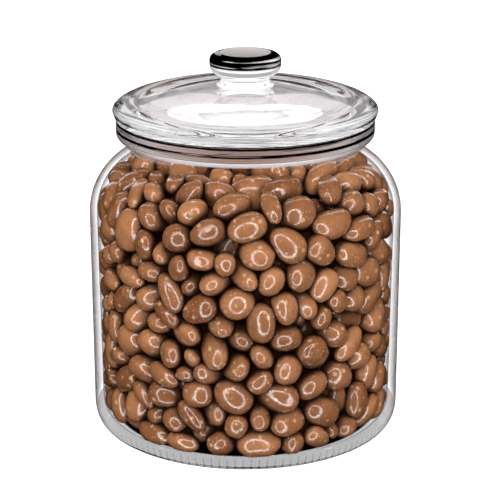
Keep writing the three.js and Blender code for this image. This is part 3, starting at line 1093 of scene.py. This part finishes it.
def pale_floor():
    """A pale floor, bright enough to fade into the white round it, with a painted shadow under the jar,
    where its glow and colour are darker.
    """
    sheet = Finish("pale_floor")
    radius = sheet.axes()[3]
    open_floor = radius.step(SHADE_INNER, SHADE_OUTER)
    glow = sheet.mixed(open_floor * (1.0 - UNDER_GLOW) + UNDER_GLOW, (0, 0, 0, 1), (1, 1, 1, 1))
    shader = sheet.node("ShaderNodeBsdfPrincipled", None, {
        "Base Color": sheet.mixed(open_floor, (0.15, 0.15, 0.15, 1), (0.25, 0.25, 0.25, 1)),
        "Roughness": 0.9,
        "Specular IOR Level": 0.0,
        "Emission Color": glow,
        "Emission Strength": FLOOR_GLOW,
    })
    return sheet.finish(shader.outputs[0])


def make_stage():
    """A pale round floor that the jar stands on."""
    shape = bmesh.new()
    bmesh.ops.create_circle(shape, cap_ends=True, segments=96, radius=FLOOR_RADIUS)
    mesh = bpy.data.meshes.new("floor")
    shape.to_mesh(mesh)
    shape.free()
    floor = linked("floor", mesh)
    floor.location.z = -FLOOR_DROP
    floor.data.materials.append(pale_floor())
    floor.visible_diffuse = False
    floor.visible_glossy = False
    floor.visible_shadow = False


def make_surroundings():
    """White to the eye. In the clear glass they show as dark near the horizon and light above."""
    world = bpy.data.worlds.new("surroundings")
    world.use_nodes = True
    sheet = Sheet(world.node_tree)
    world.node_tree.nodes.clear()
    direction = sheet.node("ShaderNodeTexCoord").outputs["Generated"]
    lift = sheet.wire(sheet.node("ShaderNodeSeparateXYZ", None, {0: direction}), "Z")
    seen = sheet.wire(sheet.node("ShaderNodeLightPath"), "Is Camera Ray")
    low = 1.0 - lift.step(BAND_START, BAND_START + BAND_SOFT)
    high = lift.step(BAND_END - BAND_SOFT, BAND_END)
    cloud = sheet.node("ShaderNodeTexNoise", None, {"Vector": direction, "Scale": 3.0, "Detail": 3.0})
    smear = sheet.wire(cloud).step(0.35, 0.65) * 0.3 + 0.7
    glass_light = low * WHITE_LIGHT + high * smear * SKY_LIGHT + BAND_LIGHT
    light = seen * WHITE_LIGHT + (1.0 - seen) * glass_light
    sky = sheet.node("ShaderNodeBackground", None, {"Color": (1, 1, 1, 1), "Strength": light})
    sheet.node("ShaderNodeOutputWorld", None, {"Surface": sky.outputs[0]})
    world.cycles_visibility.diffuse = False
    world.cycles_visibility.glossy = False
    bpy.context.scene.world = world


def lamp(name, place, size, power):
    """A soft lamp that lights the peanuts without a shine of its own."""
    data = bpy.data.lights.new(name, "AREA")
    data.shape = "RECTANGLE"
    data.size = data.size_y = size
    data.energy = power
    light = bpy.data.objects.new(name, data)
    bpy.context.scene.collection.objects.link(light)
    light.location = place
    light.rotation_euler = (Vector(LAMP_AIM) - Vector(place)).to_track_quat("-Z", "Y").to_euler()
    light.visible_camera = False
    light.visible_transmission = False
    light.visible_glossy = False


def ring_light(name, turn, lift, glow):
    """A thin bright ring, taller than wide, that faces the jar. turn and lift are in degrees.

    It gives the peanuts their shine. It lights nothing else, and the clear glass shows no image of it.
    """
    turn, lift = math.radians(turn), math.radians(lift)
    away = Vector((math.sin(turn) * math.cos(lift), -math.cos(turn) * math.cos(lift), math.sin(lift)))
    places, faces = [], []
    for k in range(RING_SIDES):
        angle = 2 * math.pi * k / RING_SIDES
        for reach in (RING_RADIUS - RING_BREADTH / 2, RING_RADIUS + RING_BREADTH / 2):
            places.append((RING_SHAPE * reach * math.cos(angle), reach * math.sin(angle), 0))
        one, two = 2 * k, 2 * ((k + 1) % RING_SIDES)
        faces.append((one, two, two + 1, one + 1))
    mesh = bpy.data.meshes.new(name)
    mesh.from_pydata(places, [], faces)
    ring = linked(name, mesh)
    ring.location = Vector((0, 0, VIEW_HEIGHT)) + away * RING_DISTANCE
    ring.rotation_euler = (-away).to_track_quat("-Z", "Y").to_euler()
    ring.visible_camera = False
    ring.visible_transmission = False
    ring.visible_diffuse = False
    sheet = Finish(name)
    mirrored = sheet.wire(sheet.node("ShaderNodeLightPath"), "Is Singular Ray")
    bright = sheet.node("ShaderNodeEmission", None, {"Strength": glow})
    clear = sheet.node("ShaderNodeBsdfTransparent")
    mixed = sheet.node("ShaderNodeMixShader", None, {0: mirrored, 1: bright.outputs[0], 2: clear.outputs[0]})
    mesh.materials.append(sheet.finish(mixed.outputs[0]))


def make_lights():
    ring_light("front_ring", 0, -4, 5.5)
    ring_light("back_ring", 180, 32, 2.2)
    lamp("front_soft", (0, -1.3, 0.62), 0.4, FRONT_POWER)
    lamp("back_soft", (0, 1.3, 0.62), 0.4, BACK_POWER)
    lamp("left_soft", (-1.4, 0, 0.6), 0.6, SIDE_POWER)
    lamp("right_soft", (1.4, 0, 0.6), 0.6, SIDE_POWER)
    bpy.context.scene.view_settings.view_transform = "Standard"
    cycles = bpy.context.scene.cycles
    cycles.use_denoising = True
    cycles.max_bounces = 32
    cycles.diffuse_bounces = 1
    cycles.glossy_bounces = 24
    cycles.transmission_bounces = 32
    cycles.transparent_max_bounces = 32


make_camera()
make_stage()
make_surroundings()
make_lights()
make_core()
make_peanuts()
make_jar()
make_lid()
